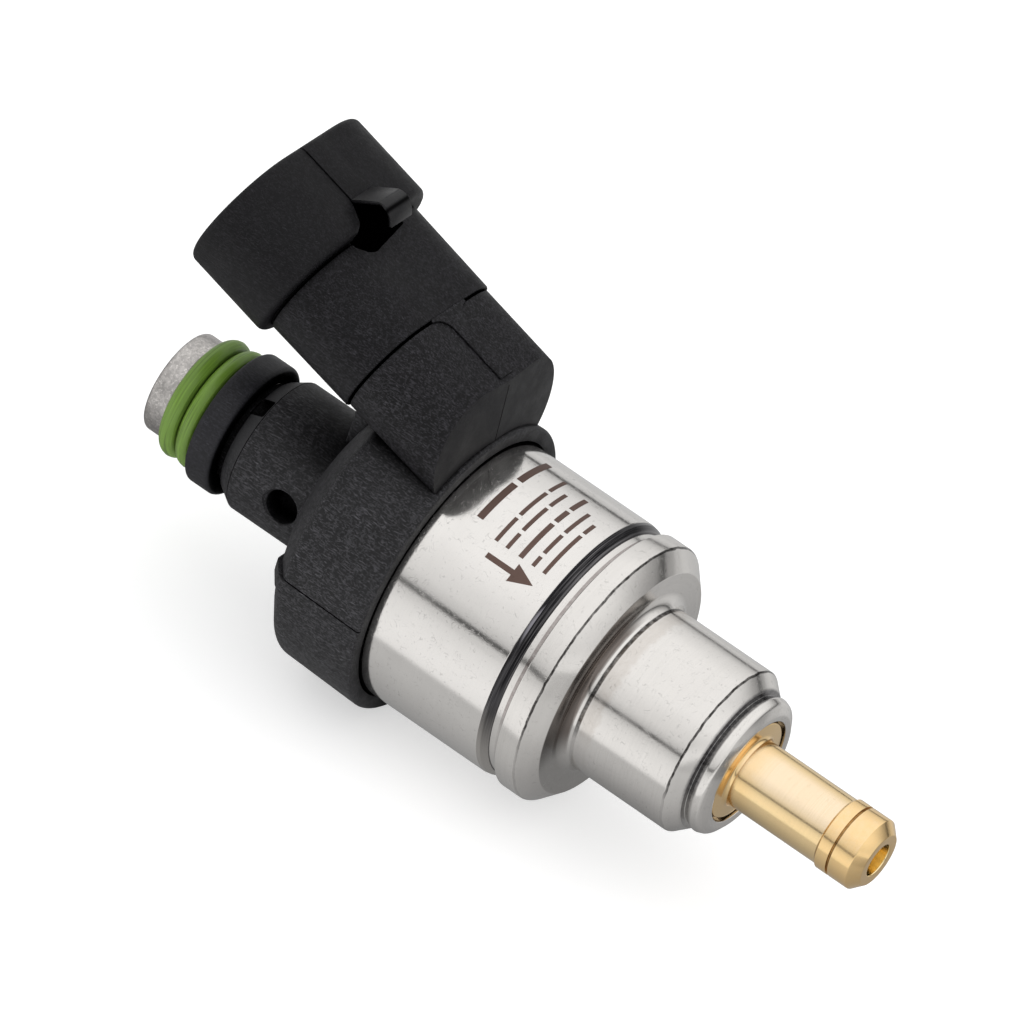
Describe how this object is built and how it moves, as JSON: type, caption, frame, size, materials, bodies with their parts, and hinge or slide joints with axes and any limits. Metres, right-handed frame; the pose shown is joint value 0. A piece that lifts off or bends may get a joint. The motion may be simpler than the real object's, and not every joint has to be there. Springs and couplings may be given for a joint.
{
  "type": "gas fuel injector",
  "caption": "Solenoid gas fuel injector with an O-ring inlet, a leaning two-pin electrical connector, a steel can and a brass outlet nozzle.",
  "frame": {"origin": "centre of the inlet tube's end face, on the injector axis", "axes": "+X along the injector axis from the inlet to the nozzle tip; +Z towards the electrical connector; XZ is the plane of symmetry"},
  "size_m": [0.0708, 0.0266, 0.0412],
  "materials": {
    "black_plastic": "black glass-filled nylon, matte, with a fine moulded grain",
    "ring_plastic": "dark grey acetal, matte",
    "green_rubber": "green fluorocarbon rubber, satin, with a faint mould line",
    "dark_rubber": "black rubber, matte",
    "turned_steel": "turned stainless steel, satin to bright, with fine turning marks",
    "tube_steel": "dull turned stainless steel",
    "magnet_steel": "soft magnetic steel, turned",
    "brass": "turned brass, bright",
    "copper_wire": "enamelled copper wire, wound",
    "tinned_blade": "tinned bronze, bright",
    "nylon": "natural nylon, satin",
    "spring_wire": "drawn spring wire"
  },
  "bodies": {
    "injector_body": {"inlet_tube": "tube_steel", "inlet_filter": "nylon", "oring_outer": "green_rubber", "oring_inner": "green_rubber", "backup_ring": "ring_plastic", "connector_shell": "black_plastic", "terminal_carrier": "black_plastic", "terminal_pin_left": "tinned_blade", "terminal_pin_right": "tinned_blade", "cap_overmould": "black_plastic", "steel_can": "turned_steel", "upper_flux_washer": "magnet_steel", "lower_flux_washer": "magnet_steel", "coil_bobbin": "nylon", "coil_winding": "copper_wire", "guide_sleeve": "turned_steel", "fixed_core": "magnet_steel", "spring_adjuster": "turned_steel", "return_spring": "spring_wire", "valve_seat": "turned_steel", "seat_oring": "dark_rubber", "lower_housing": "turned_steel", "brass_nozzle": "brass", "nozzle_oring": "dark_rubber"},
    "plunger": {"armature": "magnet_steel", "valve_pad": "dark_rubber"}
  },
  "joints": [
    {"name": "armature_lift", "type": "slide", "parent": "injector_body", "child": "plunger", "axis": [-1, 0, 0], "range_m": [0, 0.00045], "stiffness_N_per_m": 1500, "springref_m": -0.0015, "deforming": ["return_spring"]}
  ]
}
